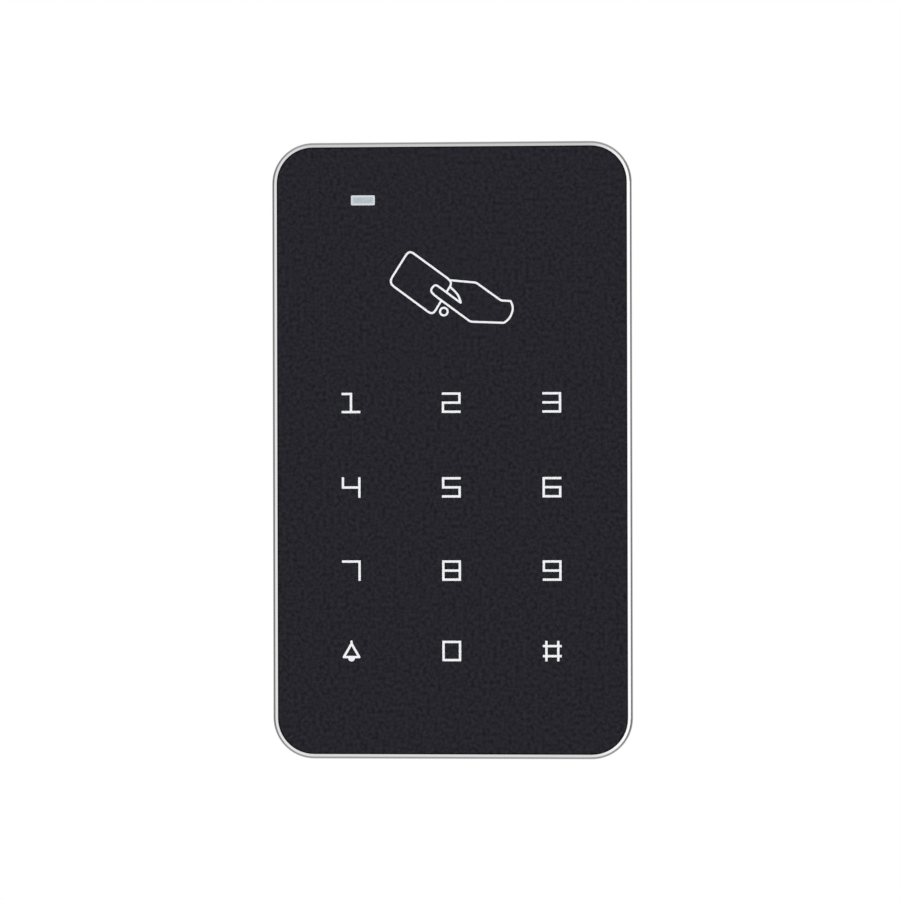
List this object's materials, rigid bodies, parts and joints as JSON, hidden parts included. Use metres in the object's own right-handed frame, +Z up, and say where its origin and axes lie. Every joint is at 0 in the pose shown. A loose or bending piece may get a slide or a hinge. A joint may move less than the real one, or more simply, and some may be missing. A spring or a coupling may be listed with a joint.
{
  "type": "keypad access reader",
  "caption": "Slim upright keypad and card reader for door entry: flat black touch face in a metal rim, hung on a wall plate that it swings off to open.",
  "frame": {"origin": "centre of the wall plate's back face, on the wall's surface", "axes": "+Z up, +X right as seen from the front, +Y into the wall; the keypad face looks along -Y"},
  "size_m": [0.07, 0.018, 0.12],
  "materials": {
    "zinc_steel": "zinc-plated, lightly rolled",
    "satin_aluminium": "satin anodised sides, bright cut front edge",
    "panel_black": "matte, fine mottled grain, bluish black",
    "legend_white": "translucent white",
    "light_pipe": "translucent pale bluish grey",
    "adhesive": "foam tape",
    "diffuser": "translucent film",
    "housing_black": "moulded, fine texture",
    "seal_rubber": "matte",
    "screw_steel": "zinc-plated",
    "lock_steel": "stainless",
    "insert_brass": "knurled",
    "board_green": "solder mask over glass cloth",
    "pad_gold": "gold-plated copper",
    "spring_steel": "drawn wire",
    "lamp_body": "white package, phosphor gel",
    "chip_black": "moulded resin",
    "tinned_leads": "tinned, satin",
    "regulator_black": "moulded resin and tinned tab",
    "crystal_can": "drawn can",
    "capacitor_can": "bright can, black mark",
    "inductor_ferrite": "ferrite",
    "resistor_black": "glazed, tinned ends",
    "capacitor_tan": "ceramic, tinned ends",
    "diode_black": "moulded resin, tinned ends",
    "buzzer_black": "moulded",
    "header_white": "moulded nylon",
    "coil_copper": "enamelled copper wire",
    "plunger_white": "moulded acetal",
    "switch_body": "moulded, steel cover",
    "button_grey": "moulded"
  },
  "bodies": {
    "plate": {"wall_plate": "zinc_steel"},
    "reader": {"bezel_frame": "satin_aluminium", "front_panel": "panel_black", "key_legends": "legend_white", "card_symbol": "legend_white", "status_window": "light_pipe", "panel_adhesive": "adhesive", "diffuser_sheet": "diffuser", "rear_housing": "housing_black", "housing_seal": "seal_rubber", "housing_screws": "screw_steel", "lock_insert": "insert_brass", "circuit_board": "board_green", "board_screws": "screw_steel", "touch_springs": "spring_steel", "touch_pads": "pad_gold", "backlight_lamps": "lamp_body", "status_lamp": "lamp_body", "controller_chip": "chip_black", "touch_chips": "chip_black", "reader_chip": "chip_black", "chip_leads": "tinned_leads", "voltage_regulator": "regulator_black", "crystals": "crystal_can", "capacitor_cans": "capacitor_can", "power_inductor": "inductor_ferrite", "chip_resistors": "resistor_black", "chip_capacitors": "capacitor_tan", "chip_ends": "tinned_leads", "protection_diodes": "diode_black", "buzzer": "buzzer_black", "connector_header": "header_white", "connector_pins": "pad_gold", "antenna_coil": "coil_copper", "antenna_leads": "coil_copper", "tamper_switch": "switch_body", "tamper_spring": "spring_steel", "reset_switch": "switch_body"},
    "lock_screw": {"lock_screw": "lock_steel"},
    "tamper_plunger": {"tamper_plunger": "plunger_white"},
    "reset_button": {"reset_button": "button_grey"}
  },
  "joints": [
    {"name": "reader_swing", "type": "hinge", "parent": "plate", "child": "reader", "pos_m": [0, -0.003, 0.053], "axis": [-1, 0, 0], "range_deg": [0, 20]},
    {"name": "lock_screw_slide", "type": "slide", "parent": "reader", "child": "lock_screw", "axis": [0, 0, -1], "range_m": [0, 0.008]},
    {"name": "tamper_plunger_slide", "type": "slide", "parent": "reader", "child": "tamper_plunger", "axis": [0, 1, 0], "range_m": [0, 0.0015], "stiffness_N_per_m": 30, "springref_m": 0.003, "deforming": ["tamper_spring"]},
    {"name": "reset_button_press", "type": "slide", "parent": "reader", "child": "reset_button", "axis": [0, -1, 0], "range_m": [0, 0.00055], "stiffness_N_per_m": 200, "springref_m": -0.0003}
  ],
  "couplings": [
    {"joint": "tamper_plunger_slide", "follows": "reader_swing", "m_per_rad": 0.0042}
  ]
}
